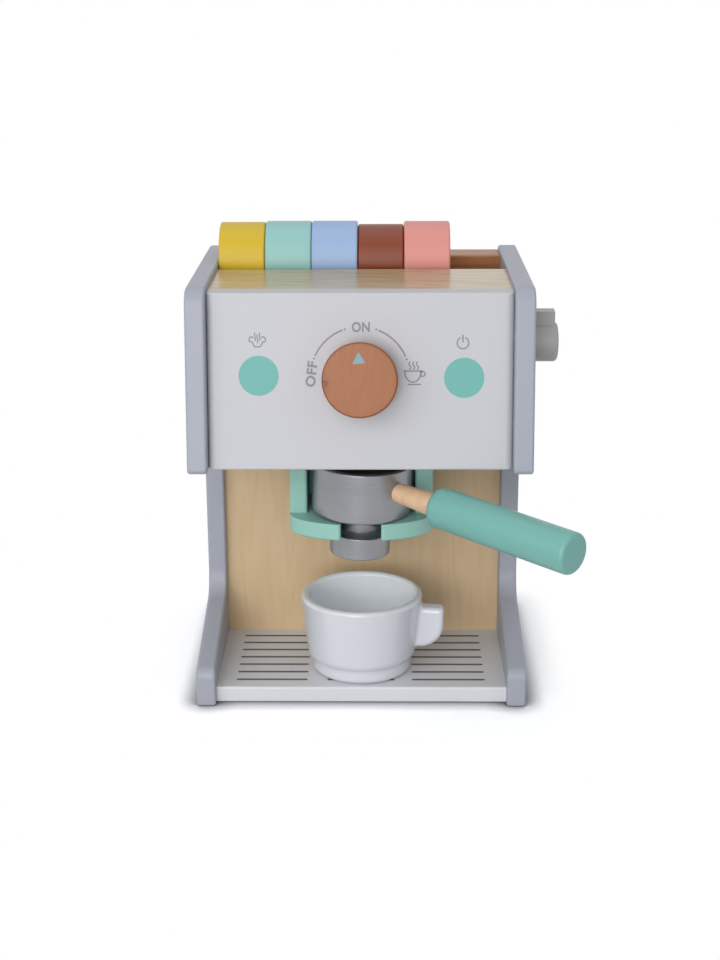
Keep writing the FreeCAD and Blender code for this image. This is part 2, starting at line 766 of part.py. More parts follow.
def make_handle_dowel():
    """Turned dowel from the basket's wall, widening to the grip, with a tenon in the grip."""
    thin = HANDLE_DOWEL_DIAMETER / 2
    wide = HANDLE_COLLAR_DIAMETER / 2
    tenon = HANDLE_TENON_DIAMETER / 2
    end = GRIP_START + HANDLE_TENON_LENGTH
    profile = [
        line((0, 0), (thin, 0)),
        line((thin, 0), (thin, basket_radius)),
        line((thin, basket_radius), (wide, GRIP_START)),
        line((wide, GRIP_START), (tenon, GRIP_START)),
        line((tenon, GRIP_START), (tenon, end)),
        line((tenon, end), (0, end)),
        line((0, end), (0, 0)),
    ]
    dowel = placed(turned(profile), Vector(0, 0, HANDLE_RISE), Y_AXIS, 90)
    core = Part.makeCylinder(cavity_radius, basket_height, Vector(0, 0, 0))
    return on_filter(dowel.cut(core))


def make_grip():
    """Grip with rounded ends and a blind bore for the dowel's tenon."""
    r = GRIP_DIAMETER / 2
    near_end = GRIP_NEAR_ROUND
    far_end = GRIP_FAR_ROUND
    end = GRIP_LENGTH
    profile = [
        line((0, 0), (r - near_end, 0)),
        quarter((r - near_end, near_end), near_end, -90),
        line((r, near_end), (r, end - far_end)),
        quarter((r - far_end, end - far_end), far_end, 0),
        line((r - far_end, end), (0, end)),
        line((0, end), (0, 0)),
    ]
    bore = HANDLE_TENON_LENGTH + HOLE_BOTTOM_GAP
    grip = turned(profile).cut(Part.makeCylinder(HANDLE_TENON_DIAMETER / 2 + GLUE_GAP, bore))
    return on_filter(placed(grip, Vector(GRIP_START, 0, HANDLE_RISE), Y_AXIS, 90))


def make_filter_capsule():
    """Capsule standing level in the basket, clear of its drooping floor."""
    radius = FILTER_CAPSULE_DIAMETER / 2
    lift = BASKET_FLOOR * math.cos(droop) + radius * math.sin(droop) + CAPSULE_SEAT_GAP
    body = Part.makeCylinder(radius, filter_capsule_height, Vector(0, filter_y, filter_z + lift))
    return body.makeFillet(CAPSULE_ROUND, body.Edges[0:1] + body.Edges[2:3])


# Dial
def knob_profile(back, radius, start, end, rounding):
    """Closed profile of a turned knob that widens from its back, rounded at its outer end."""
    return [
        line((0, start), (back, start)),
        line((back, start), (radius, end - rounding)),
        quarter((radius - rounding, end - rounding), rounding, 0),
        line((radius - rounding, end), (0, end)),
        line((0, end), (0, start)),
    ]


def make_dial_knob():
    """Beech dial with bores for its shaft and its stop pin."""
    back = DIAL_BACK_DIAMETER / 2
    knob = turned(knob_profile(back, dial_radius, DIAL_STANDOFF, DIAL_LENGTH, DIAL_ROUND))
    depth = DIAL_SHAFT_IN_KNOB + HOLE_BOTTOM_GAP
    shaft = DIAL_SHAFT_DIAMETER / 2 + GLUE_GAP
    pin = DIAL_STOP_PIN / 2 + GLUE_GAP
    bores = [
        Part.makeCylinder(shaft, depth + DIAL_STANDOFF),
        Part.makeCylinder(pin, depth + DIAL_STANDOFF, Vector(0, DIAL_STOP_RADIUS, 0)),
    ]
    return on_dial(cut_all(knob, bores))


def make_stop_pin():
    """Pin in the dial's back that runs in the panel's groove."""
    top = DIAL_STANDOFF + DIAL_SHAFT_IN_KNOB
    low = -(DIAL_STOP_DEPTH - HOLE_BOTTOM_GAP)
    return on_dial(Part.makeCylinder(DIAL_STOP_PIN / 2, top - low, Vector(0, DIAL_STOP_RADIUS, low)))


def end_screw(depth):
    """Screw into a shaft's inner end, its head's top facing -Z at a depth under Z = 0."""
    one = screw(END_SCREW_SHANK, END_SCREW_HEAD, END_SCREW_LENGTH)
    return placed(one, Vector(0, 0, -depth), X_AXIS, 180)


def end_screw_pocket(depth):
    """Hole for the screw in a shaft's inner end."""
    tool = screw_pocket(END_SCREW_SHANK, END_SCREW_HEAD, END_SCREW_LENGTH)
    return placed(tool, Vector(0, 0, -depth), X_AXIS, 180)


dial_shaft_end = FRONT_PANEL_THICK + WASHER_GAP
dial_washer_end = dial_shaft_end + WASHER_THICK
steam_shaft_end = SIDE_THICK + WASHER_GAP
steam_washer_end = steam_shaft_end + WASHER_THICK


def make_shaft(diameter, in_knob, standoff, end, screw_depth):
    """Shaft from inside a knob to just past the board, bored for its end screw."""
    length = in_knob + standoff + end
    shaft = Part.makeCylinder(diameter / 2, length, Vector(0, 0, -end))
    return shaft.cut(end_screw_pocket(screw_depth))


def make_washer(diameter, shaft_end, screw_depth):
    """Washer on a shaft's inner end."""
    washer = Part.makeCylinder(diameter / 2, WASHER_THICK, Vector(0, 0, -shaft_end - WASHER_THICK))
    return washer.cut(end_screw_pocket(screw_depth))


# Steam knob
def make_steam_knob():
    """Round knob with a square lever that points up, bored for its shaft."""
    radius = STEAM_DIAMETER / 2
    knob = turned(knob_profile(radius, radius, STEAM_STANDOFF, STEAM_LENGTH, STEAM_ROUND))
    half = STEAM_LEVER_WIDTH / 2
    top = STEAM_STANDOFF + STEAM_LEVER_LENGTH
    lever = block(-STEAM_LEVER_RISE, 0, -half, half, STEAM_STANDOFF, top)
    bore = Part.makeCylinder(STEAM_SHAFT_DIAMETER / 2 + GLUE_GAP,
                             STEAM_STANDOFF + STEAM_SHAFT_IN_KNOB + HOLE_BOTTOM_GAP)
    return on_steam(knob.fuse(lever).removeSplitter().cut(bore))


# Capsules in the tray
def make_tray_capsule(index, diameter):
    """Capsule lying in the tray, its axis along X."""
    start = -inner_x + CAPSULE_SIDE_GAP + index * CAPSULE_PITCH
    centre_y = (top_board_rear_y + rail_front_y) / 2
    centre_z = tray_floor_z + CAPSULE_SEAT_GAP + diameter / 2
    body = Part.makeCylinder(diameter / 2, CAPSULE_LENGTH, Vector(start, centre_y, centre_z), X_AXIS)
    rims = [e for e in body.Edges if near(e.BoundBox.XLength, 0)]
    return body.makeFillet(CAPSULE_ROUND, rims)


# Cup
def make_cup():
    """Cup with a stepped foot, tapering wall, thick lip and a solid flag-shaped ear."""
    foot = CUP_FOOT_RADIUS
    rim = CUP_RIM_RADIUS
    top = CUP_HEIGHT
    lip = CUP_LIP_WIDTH / 2
    step_z = CUP_FOOT_HEIGHT
    belly = (CUP_BELLY_RADIUS, CUP_BELLY_HEIGHT)
    crease = CUP_CREASE_HEIGHT / 2
    shoulder = (foot + CUP_FOOT_STEP, step_z + crease)
    crease_middle = (foot + 0.25 * CUP_FOOT_STEP, step_z)
    turn_in = ((belly[0] + shoulder[0]) / 2 + 0.35, (belly[1] + shoulder[1]) / 2 - 0.6)
    inner_rim = rim - CUP_LIP_WIDTH
    inner_belly = CUP_BELLY_RADIUS - CUP_WALL_THICK
    floor = CUP_FLOOR_THICK
    bowl = 8.0
    outside = [
        line((0, 0), (foot - CUP_FOOT_ROUND, 0)),
        quarter((foot - CUP_FOOT_ROUND, CUP_FOOT_ROUND), CUP_FOOT_ROUND, -90),
        line((foot, CUP_FOOT_ROUND), (foot, step_z - crease)),
        arc((foot, step_z - crease), crease_middle, shoulder),
        arc(shoulder, turn_in, belly),
        line(belly, (rim, top - lip)),
        arc((rim, top - lip), (rim - lip, top), (inner_rim, top - lip)),
        line((inner_rim, top - lip), (inner_belly, floor + bowl)),
    ]
    low_corner = (inner_belly - bowl * 0.29, floor + bowl * 0.29)
    inside = [
        arc((inner_belly, floor + bowl), low_corner, (inner_belly - bowl, floor)),
        line((inner_belly - bowl, floor), (0, floor)),
        line((0, floor), (0, 0)),
    ]
    cup = turned(outside + inside)
    ear = make_ear()
    hollow = Part.makeCylinder(inner_belly, 2 * top, Vector(0, 0, 0))
    cup = cup.fuse(ear.cut(hollow)).removeSplitter()
    cup = softened(cup, EAR_ROOT_ROUND, ear_root_edges(cup))
    cup.translate(Vector(0, cup_y, BASE_THICK))
    return cup


def outer_radius(z):
    """Radius of the cup's tapering outside at a height in its own frame."""
    straight = CUP_HEIGHT - CUP_LIP_WIDTH / 2 - CUP_BELLY_HEIGHT
    share = (z - CUP_BELLY_HEIGHT) / straight
    return CUP_BELLY_RADIUS + share * (CUP_RIM_RADIUS - CUP_BELLY_RADIUS)


def ear_root_edges(cup):
    """Short edges on the cup's outside where the ear grows out of it."""
    def at_root(p):
        away = math.hypot(p.x, p.y)
        return abs(away - outer_radius(p.z)) < 0.05 and p.x > 0 and abs(p.y) < 2 * EAR_THICK

    found = edges_where(cup, at_root)
    return [e for e in found if e.Length < EAR_HEIGHT + EAR_THICK]


def make_ear():
    """Flag-shaped ear in the cup's frame: flat top, upright end and a quarter-round underside."""
    high = CUP_HEIGHT - EAR_TOP_DROP
    low = high - EAR_HEIGHT
    inside = CUP_BELLY_RADIUS - CUP_WALL_THICK / 2
    reach = EAR_REACH
    curve = EAR_CURVE
    half = EAR_THICK / 2

    def spot(x, z):
        return Vector(x, -half, z)

    knee = math.sqrt(0.5) * curve
    edges = [
        Part.LineSegment(spot(inside, low), spot(reach - curve, low)).toShape(),
        Part.Arc(spot(reach - curve, low), spot(reach - curve + knee, low + curve - knee),
                 spot(reach, low + curve)).toShape(),
        Part.LineSegment(spot(reach, low + curve), spot(reach, high)).toShape(),
        Part.LineSegment(spot(reach, high), spot(inside, high)).toShape(),
        Part.LineSegment(spot(inside, high), spot(inside, low)).toShape(),
    ]
    ear = Part.Face(Part.Wire(edges)).extrude(Vector(0, EAR_THICK, 0))
    rims = [e for e in ear.Edges if e.BoundBox.XMax > inside + 1]
    ear = ear.makeFillet(EAR_ROUND, rims)
    ear.rotate(Vector(0, 0, 0), Z_AXIS, -EAR_TURN)
    return ear


def build():
    """Every sub-part by name."""
    parts = {
        "left_side_panel": make_side(-1),
        "right_side_panel": make_side(1),
        "base_board": make_base(),
        "back_panel": make_back_panel(),
        "front_panel": make_front_panel(),
        "top_board": make_top_board(),
        "tray_front_batten": make_batten(),
        "tray_floor": make_tray_floor(),
        "rear_rail": make_rail(),
        "head_floor": make_head_floor(),
        "rear_cover": make_rear_cover(),
        "rear_cover_screws": make_cover_screws(),
        "carcass_dowels": Part.makeCompound(side_dowels(-1) + side_dowels(1)),
        "bracket_left_wall": make_bracket_wall(-1),
        "bracket_right_wall": make_bracket_wall(1),
        "bracket_back": make_bracket_back(),
        "bracket_fork": make_fork(),
        "bracket_screws": make_bracket_screws(),
        "dial_knob": make_dial_knob(),
        "dial_shaft": on_dial(make_shaft(DIAL_SHAFT_DIAMETER, DIAL_SHAFT_IN_KNOB, DIAL_STANDOFF,
                                         dial_shaft_end, dial_washer_end)),
        "dial_stop_pin": make_stop_pin(),
        "dial_washer": on_dial(make_washer(DIAL_WASHER_DIAMETER, dial_shaft_end, dial_washer_end)),
        "dial_screw": on_dial(end_screw(dial_washer_end)),
        "steam_knob": make_steam_knob(),
        "steam_shaft": on_steam(make_shaft(STEAM_SHAFT_DIAMETER, STEAM_SHAFT_IN_KNOB, STEAM_STANDOFF,
                                           steam_shaft_end, steam_washer_end)),
        "steam_washer": on_steam(make_washer(STEAM_WASHER_DIAMETER, steam_shaft_end, steam_washer_end)),
        "steam_screw": on_steam(end_screw(steam_washer_end)),
        "filter_basket": make_basket(),
        "filter_spout": make_spout(),
        "filter_screw": make_filter_screw(),
        "handle_dowel": make_handle_dowel(),
        "handle_grip": make_grip(),
        "capsule_in_basket": make_filter_capsule(),
        "cup": make_cup(),
    }
    for index, (name, diameter) in enumerate(TRAY_CAPSULES.items()):
        parts[name] = make_tray_capsule(index, diameter)
    return parts


def main():
    os.makedirs("parts", exist_ok=True)
    for name, shape in build().items():
        if not shape.isValid():
            print("invalid shape:", name)
        shape.exportStep("parts/" + name + ".step")
        print(name, "solids", len(shape.Solids), "volume %.1f" % shape.Volume)


main()
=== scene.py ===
# %% [markdown]
# # Toy coffee maker
# The real toy is a small case of painted boards and natural wood, with a turned handle, capsules
# and a cup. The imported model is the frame: every CAD piece is already in place, in metres, with X
# to the right, Y to the back and Z up. The shapes could be modelled again here, but then two
# versions of each could drift apart. So this lesson only gives each piece its surface, adds what
# is printed on it, and sets up the camera and the studio. Lengths below are written in millimetres
# and turned into metres by `MM` just before a mesh is made.

# %% Load the frame
import math

import bpy
import numpy as np
from mathutils import Matrix, Vector


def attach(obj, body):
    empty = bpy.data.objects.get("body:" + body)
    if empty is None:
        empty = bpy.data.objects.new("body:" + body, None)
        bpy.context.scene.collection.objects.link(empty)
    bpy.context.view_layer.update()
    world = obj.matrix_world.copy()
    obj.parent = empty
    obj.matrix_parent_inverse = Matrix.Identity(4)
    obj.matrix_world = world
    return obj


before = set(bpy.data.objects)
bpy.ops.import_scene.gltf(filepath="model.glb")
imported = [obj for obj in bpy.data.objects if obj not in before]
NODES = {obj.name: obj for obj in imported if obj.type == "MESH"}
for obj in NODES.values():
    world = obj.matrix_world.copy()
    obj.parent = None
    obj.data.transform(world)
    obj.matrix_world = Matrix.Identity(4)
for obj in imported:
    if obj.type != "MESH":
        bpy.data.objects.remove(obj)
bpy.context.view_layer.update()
MM = 0.001

# %% [markdown]
# ## The camera
# The photograph was taken from the front, slightly above and with a long lens. A camera could be
# aimed by eye, but then a difference in a shape can't be told from a difference in the view. This
# one was fitted to the corners of the case: its place, its turn to the side, its pitch and its
# small roll. The lens is the focal length in pixels over the long side, times the 36 mm sensor.

# %% Camera
FOCAL_PIXELS = 1640.0
LONG_SIDE = 960.0
SENSOR_WIDTH = 36.0
CAMERA_PLACE = (10.45, -895.2, 391.7)
YAW, PITCH, ROLL = (math.radians(angle) for angle in (0.741, 17.6, -0.21))


def camera_axes(yaw, pitch, roll):
    """Right, up and forward unit vectors of the camera."""
    level = Vector((math.cos(yaw), math.sin(yaw), 0))
    ahead = Vector((-math.sin(yaw), math.cos(yaw), 0))
    forward = ahead * math.cos(pitch) - Vector((0, 0, math.sin(pitch)))
    above = level.cross(forward)
    right = level * math.cos(roll) + above * math.sin(roll)
    up = above * math.cos(roll) - level * math.sin(roll)
    return right, up, forward


camera_data = bpy.data.cameras.new("photo_camera")
camera_data.sensor_width = SENSOR_WIDTH
camera_data.lens = FOCAL_PIXELS / LONG_SIDE * SENSOR_WIDTH
camera_data.clip_start = 0.02
camera_data.clip_end = 60.0
camera = bpy.data.objects.new("photo_camera", camera_data)
right, up, forward = camera_axes(YAW, PITCH, ROLL)
facing = Matrix((right, up, -forward)).transposed().to_4x4()
camera.matrix_world = Matrix.Translation(Vector(CAMERA_PLACE) * MM) @ facing
bpy.context.scene.collection.objects.link(camera)
bpy.context.scene.camera = camera
bpy.context.scene.view_settings.view_transform = "Standard"
print("camera at", tuple(camera.location), "lens", round(camera_data.lens, 2))

# %% [markdown]
# ## Colour helper
# Blender's shaders count in scene-linear light, and a colour read off a screen is not linear. The
# numbers could be converted one by one beforehand. Here they stay the 0 to 255 values that a
# painter would compare on the screen, and one function turns them into linear ones.

# %% Colour helper


def linear(*values):
    """Scene-linear RGBA of a screen colour given as 0 to 255 numbers."""
    shares = [v / 255 for v in values]
    lin = [s / 12.92 if s <= 0.04045 else ((s + 0.055) / 1.055) ** 2.4 for s in shares]
    return (*lin, 1.0)


def grey(level):
    """Scene-linear grey as RGBA."""
    return (level, level, level, 1.0)


print("mid grey", [round(c, 3) for c in linear(128, 128, 128)])

# %% [markdown]
# ## Node helpers
# A material could be written as a long list of nodes and links, which is hard to read. These
# short functions each add one node and link it, so that a material reads like a sum. Where a
# number may stand for a socket, they take either.

# %% Node helpers


def add(tree, kind, **settings):
    """New node with its properties set; keys that name an input set that input."""
    node = tree.nodes.new(kind)
    for key, value in settings.items():
        if hasattr(node, key):
            setattr(node, key, value)
        else:
            node.inputs[key.replace("_", " ")].default_value = value
    return node


def feed(tree, value, target):
    """Give an input its value: a link from a socket, or a plain number or colour."""
    if isinstance(value, (int, float, tuple)):
        target.default_value = value
    else:
        tree.links.new(value, target)


def math_node(tree, operation, *operands, clamp=False):
    """Math node whose inputs are sockets or numbers; returns its output."""
    node = add(tree, "ShaderNodeMath", operation=operation, use_clamp=clamp)
    for place, value in enumerate(operands):
        feed(tree, value, node.inputs[place])
    return node.outputs[0]


def root_of_squares(tree, a, b):
    """Length of the flat vector (a, b)."""
    squares = (math_node(tree, "MULTIPLY", part, part) for part in (a, b))
    return math_node(tree, "SQRT", math_node(tree, "ADD", *squares))


def noise(tree, vector, scale, detail=2.0, roughness=0.5, distortion=0.0):
    """Noise texture on a vector; returns its factor, near 0.5 on average."""
    node = add(tree, "ShaderNodeTexNoise", Scale=scale, Detail=detail)
    node.inputs["Roughness"].default_value = roughness
    node.inputs["Distortion"].default_value = distortion
    tree.links.new(vector, node.inputs["Vector"])
    return node.outputs["Fac"]


def mix_colour(tree, factor, a, b):
    """Colour mix of two sockets or colours; returns the result."""
    node = add(tree, "ShaderNodeMix", data_type="RGBA")
    for place, value in ((0, factor), (6, a), (7, b)):
        feed(tree, value, node.inputs[place])
    return node.outputs[2]


def ramp(tree, factor, low, high):
    """Smooth step of a factor between two levels; returns 0 to 1."""
    node = add(tree, "ShaderNodeMapRange", interpolation_type="SMOOTHSTEP")
    tree.links.new(factor, node.inputs["Value"])
    node.inputs["From Min"].default_value = low
    node.inputs["From Max"].default_value = high
    return node.outputs["Result"]


def stretched(tree, vector, scale):
    """The vector with each direction scaled; a small scale draws the pattern out."""
    node = add(tree, "ShaderNodeMapping")
    node.inputs["Scale"].default_value = scale
    tree.links.new(vector, node.inputs["Vector"])
    return node.outputs["Vector"]


print("helpers ready")

# %% [markdown]
# ## Shared surface effects
# Most of the toy is sprayed paint or bare wood, so two node groups carry those effects. They could
# be copied into every material, but a group is built once and each material only sets its values.
# `paint_coat` is sprayed paint with faint clouds and a fine orange peel: one noise is about 30 mm
# wide, the other well under a millimetre. Both change the colour by a few percent, and the fine
# one also feeds the bump. A plain colour would look like plastic.

# %% Paint group


def socket(group, name, kind, direction, value=None):
    """New socket on a node group's interface, with its default."""
    made = group.interface.new_socket(name=name, in_out=direction, socket_type=kind)
    if value is not None:
        made.default_value = value


def make_paint_group():
    """Group paint_coat: vector in mm, colour and cloud strength in; colour and height out."""
    group = bpy.data.node_groups.new("paint_coat", "ShaderNodeTree")
    socket(group, "Vector", "NodeSocketVector", "INPUT")
    socket(group, "Colour", "NodeSocketColor", "INPUT")
    socket(group, "Clouds", "NodeSocketFloat", "INPUT", 0.04)
    socket(group, "Colour", "NodeSocketColor", "OUTPUT")
    socket(group, "Height", "NodeSocketFloat", "OUTPUT")
    inside = add(group, "NodeGroupInput")
    outside = add(group, "NodeGroupOutput")
    broad = noise(group, inside.outputs["Vector"], 0.035, 3.0)
    specks = noise(group, inside.outputs["Vector"], 1.4, 2.0)
    swing = math_node(group, "SUBTRACT", broad, 0.5)
    grain = math_node(group, "MULTIPLY", math_node(group, "SUBTRACT", specks, 0.5), 0.35)
    both = math_node(group, "ADD", swing, grain)
    level = math_node(group, "MULTIPLY_ADD", both, inside.outputs["Clouds"], 1.0)
    value = add(group, "ShaderNodeHueSaturation")
    group.links.new(inside.outputs["Colour"], value.inputs["Color"])
    group.links.new(level, value.inputs["Value"])
    group.links.new(value.outputs["Color"], outside.inputs["Colour"])
    group.links.new(specks, outside.inputs["Height"])
    return group


PAINT = make_paint_group()
print("group", PAINT.name)

# %% [markdown]
# The second group is `wood_figure`, whose grain runs along X of the vector it gets. A Wave texture
# could draw the growth bands, but its lines are too even for a flat-sawn board. Here they are the
# wavy level lines of a stretched noise, folded by a ping-pong. Fibres are a much finer noise,
# stretched far along the grain, and pores are short dark dashes of a third noise.

# %% Wood group


def make_wood_group():
    """Group wood_figure: vector in mm with the grain along X; light, dark, bands and fibres in."""
    group = bpy.data.node_groups.new("wood_figure", "ShaderNodeTree")
    socket(group, "Vector", "NodeSocketVector", "INPUT")
    socket(group, "Light", "NodeSocketColor", "INPUT")
    socket(group, "Dark", "NodeSocketColor", "INPUT")
    socket(group, "Bands", "NodeSocketFloat", "INPUT", 0.5)
    socket(group, "Fibres", "NodeSocketFloat", "INPUT", 0.4)
    socket(group, "Colour", "NodeSocketColor", "OUTPUT")
    socket(group, "Height", "NodeSocketFloat", "OUTPUT")
    inside = add(group, "NodeGroupInput")
    outside = add(group, "NodeGroupOutput")
    vector = inside.outputs["Vector"]
    long_waves = stretched(group, vector, (0.12, 1.0, 1.0))
    long_fibres = stretched(group, vector, (0.03, 1.0, 1.0))
    field = noise(group, long_waves, 0.045, 2.0, 0.45, 0.3)
    folded = math_node(group, "PINGPONG", math_node(group, "MULTIPLY", field, 9.0), 0.5)
    bands = ramp(group, folded, 0.12, 0.5)
    fibre = noise(group, long_fibres, 1.6, 3.0, 0.6)
    fibres = ramp(group, fibre, 0.35, 0.68)
    pores = ramp(group, noise(group, long_waves, 2.6, 1.0), 0.30, 0.24)
    band_part = math_node(group, "MULTIPLY", bands, inside.outputs["Bands"])
    fibre_part = math_node(group, "MULTIPLY", fibres, inside.outputs["Fibres"])
    total = math_node(group, "ADD", band_part, fibre_part, clamp=True)
    total = math_node(group, "MULTIPLY_ADD", pores, inside.outputs["Fibres"], total, clamp=True)
    colour = mix_colour(group, total, inside.outputs["Light"], inside.outputs["Dark"])
    group.links.new(colour, outside.inputs["Colour"])
    group.links.new(fibre, outside.inputs["Height"])
    return group


WOOD = make_wood_group()
print("group", WOOD.name)

# %% [markdown]
# ## Material builders
# Each builder makes a Principled material from one of the groups. UV maps would have to be drawn
# for every board. Noise works in three dimensions, so the Object coordinate does as well, and the
# pattern stays on the piece when it moves. It is scaled to millimetres, so that the size of every
# texture can be read off.

# %% Material builders


def new_material(name, roughness, metallic=0.0, coat=0.0, coat_roughness=0.1):
    """Principled material with its plain numbers set; returns (material, tree, shader)."""
    material = bpy.data.materials.new(name)
    material.use_nodes = True
    tree = material.node_tree
    shader = tree.nodes["Principled BSDF"]
    shader.inputs["Roughness"].default_value = roughness
    shader.inputs["Metallic"].default_value = metallic
    shader.inputs["Coat Weight"].default_value = coat
    shader.inputs["Coat Roughness"].default_value = coat_roughness
    return material, tree, shader


def object_mm(tree, rotation=(0.0, 0.0, 0.0), shift=(0.0, 0.0, 0.0)):
    """Object coordinates in millimetres, turned so that the wanted direction is X."""
    coordinates = add(tree, "ShaderNodeTexCoord")
    mapping = add(tree, "ShaderNodeMapping")
    mapping.inputs["Scale"].default_value = (1 / MM,) * 3
    mapping.inputs["Rotation"].default_value = rotation
    mapping.inputs["Location"].default_value = shift
    tree.links.new(coordinates.outputs["Object"], mapping.inputs["Vector"])
    return mapping.outputs["Vector"]


def bump(tree, shader, height, distance):
    """Bump of a height socket into the shader's normal; distance in millimetres."""
    node = add(tree, "ShaderNodeBump")
    node.inputs["Strength"].default_value = 1.0
    node.inputs["Distance"].default_value = distance * MM
    tree.links.new(height, node.inputs["Height"])
    tree.links.new(node.outputs["Normal"], shader.inputs["Normal"])


def painted(name, colour, roughness=0.42, clouds=0.05, peel=0.02, coat=0.0):
    """Painted wood: faint clouds in the colour and a fine orange peel."""
    material, tree, shader = new_material(name, roughness, coat=coat)
    group = add(tree, "ShaderNodeGroup", node_tree=PAINT)
    group.inputs["Colour"].default_value = colour
    group.inputs["Clouds"].default_value = clouds
    tree.links.new(object_mm(tree), group.inputs["Vector"])
    tree.links.new(group.outputs["Colour"], shader.inputs["Base Color"])
    bump(tree, shader, group.outputs["Height"], peel)
    return material


GRAIN_TURN = {"X": (0.0, 0.0, 0.0), "Z": (0.0, math.pi / 2, 0.0)}


def wooden(name, light, dark, along, bands, fibres, roughness, coat=0.0, relief=0.02):
    """Bare or oiled wood with its grain along X or Z."""
    material, tree, shader = new_material(name, roughness, coat=coat, coat_roughness=0.22)
    group = add(tree, "ShaderNodeGroup", node_tree=WOOD)
    group.inputs["Light"].default_value = light
    group.inputs["Dark"].default_value = dark
    group.inputs["Bands"].default_value = bands
    group.inputs["Fibres"].default_value = fibres
    tree.links.new(object_mm(tree, GRAIN_TURN[along]), group.inputs["Vector"])
    tree.links.new(group.outputs["Colour"], shader.inputs["Base Color"])
    bump(tree, shader, group.outputs["Height"], relief)
    return material


print("builders ready")

# %% [markdown]
# ## The painted and wooden boards
# The real case has cool light grey paint on the two side panels, a whiter one on the front panel
# and a satin white on the base. The back panel is clear birch plywood, the top board and the rail
# are oiled wood, and the boards that stay out of sight are taken as plain plywood. The rail and the
# tray batten get that oiled wood darker and browner than the top board: painted shade, taken from
# the shaded front face of the rail. All of them come from the two builders, and only colours,
# strength of figure and gloss differ from board to board.

# %% Board materials
SIDE_GREY = painted("side_grey_paint", linear(164, 167, 177), 0.45, 0.05)
PANEL_WHITE = painted("panel_white_paint", linear(197, 197, 200), 0.5, 0.03)
BASE_WHITE = painted("base_white_paint", linear(217, 218, 221), 0.34, 0.04)
BIRCH = wooden("birch_ply", linear(213, 186, 148), linear(203, 172, 130), "Z", 0.35, 0.25, 0.5)
TOP_WOOD = wooden("oiled_top_wood", linear(196, 178, 140), linear(160, 132, 92), "X", 0.4, 0.5,
                  0.32, 0.35)
# Painted shade: the rail's oiled wood is darker and browner than the top board's.
SHADED_RAIL_WOOD = wooden("rail_wood_painted_shade", linear(176, 122, 74), linear(140, 84, 42), "X", 0.5, 0.3, 0.45, 0.1)
PLY = wooden("plain_ply", linear(214, 186, 146), linear(184, 148, 104), "X", 0.4, 0.45, 0.6)
BOARD_MATERIALS = (SIDE_GREY, PANEL_WHITE, BASE_WHITE, BIRCH, TOP_WOOD, SHADED_RAIL_WOOD, PLY)
print("boards:", [material.name for material in BOARD_MATERIALS])

# %% [markdown]
# ## The leaning front
# The front panel leans back by 8 degrees, with the dial in its middle. Its frame could be measured
# from the mesh, but it is plain geometry: an axis point, a direction up the panel and one out of
# it. These serve twice: the dial's wood takes its rim from them, and later every print is laid out
# from the dial's axis.

# %% Front panel frame
LEAN = math.radians(8.0)
PANEL_FOOT_Y = -73.0
HEAD_UNDERSIDE = 135.4
DIAL_HEIGHT = 184.9
DIAL_LENGTH = 18.0
DIAL_Y = PANEL_FOOT_Y + (DIAL_HEIGHT - HEAD_UNDERSIDE) * math.tan(LEAN)
DIAL_AXIS = np.array([0.0, DIAL_Y, DIAL_HEIGHT])
PANEL_RIGHT = np.array([1.0, 0.0, 0.0])
PANEL_UP = np.array([0.0, math.sin(LEAN), math.cos(LEAN)])
PANEL_OUT = np.array([0.0, -math.cos(LEAN), math.sin(LEAN)])
print("panel frame at", DIAL_AXIS.round(2))

# %% [markdown]
# ## Beech
# The dial is straight-grained beech, oiled to an orange tone, with short dark flecks, one small
# knot near its left edge and a darker turned rim. The pegs are the same wood, left pale. The marks
# could be painted on an image. They are worked out from distances instead, to the knot's place and
# to the dial's axis, because that needs no picture, and they turn with the dial.

# %% Beech
KNOT_PLACE = (-17.5, -84.1, 185.9)
KNOT_SQUEEZE = 0.45
RIM_RADIUS = 19.55
FLECK_STRETCH = {"X": (0.3, 1.0, 1.0), "Z": (1.0, 1.0, 0.3)}


def with_knot(tree, vector, colour):
    """The colour with a dark core and a warm halo round the knot's place, longer upwards."""
    x, y, z = KNOT_PLACE
    away = add(tree, "ShaderNodeVectorMath", operation="DISTANCE")
    tree.links.new(stretched(tree, vector, (1.0, 1.0, KNOT_SQUEEZE)), away.inputs[0])
    away.inputs[1].default_value = (x, y, z * KNOT_SQUEEZE)
    ragged = noise(tree, vector, 0.9, 2.0)
    wobble = math_node(tree, "MULTIPLY_ADD", ragged, 3.0, away.outputs["Value"])
    halo = math_node(tree, "MULTIPLY", ramp(tree, wobble, 6.0, 2.0), 0.45)
    core = math_node(tree, "MULTIPLY", ramp(tree, wobble, 2.9, 2.1), 0.8)
    colour = mix_colour(tree, halo, colour, linear(138, 66, 22))
    return mix_colour(tree, core, colour, linear(92, 38, 14))


def with_dark_rim(tree, vector, colour):
    """The colour darkened beyond the rim's radius, measured on the face from the dial's axis."""
    across = add(tree, "ShaderNodeSeparateXYZ")
    tree.links.new(vector, across.inputs[0])
    up_face = add(tree, "ShaderNodeVectorMath", operation="DOT_PRODUCT")
    up_face.inputs[1].default_value = tuple(PANEL_UP)
    tree.links.new(vector, up_face.inputs[0])
    height = math_node(tree, "SUBTRACT", up_face.outputs["Value"], float(DIAL_AXIS @ PANEL_UP))
    radius = root_of_squares(tree, height, across.outputs["X"])
    near_rim = ramp(tree, radius, RIM_RADIUS - 1.0, RIM_RADIUS - 0.45)
    # Darker towards the rim and over the dial's side.
    rim_darkening = math_node(tree, "MULTIPLY", near_rim, 0.55)
    return mix_colour(tree, rim_darkening, colour, linear(112, 62, 36))


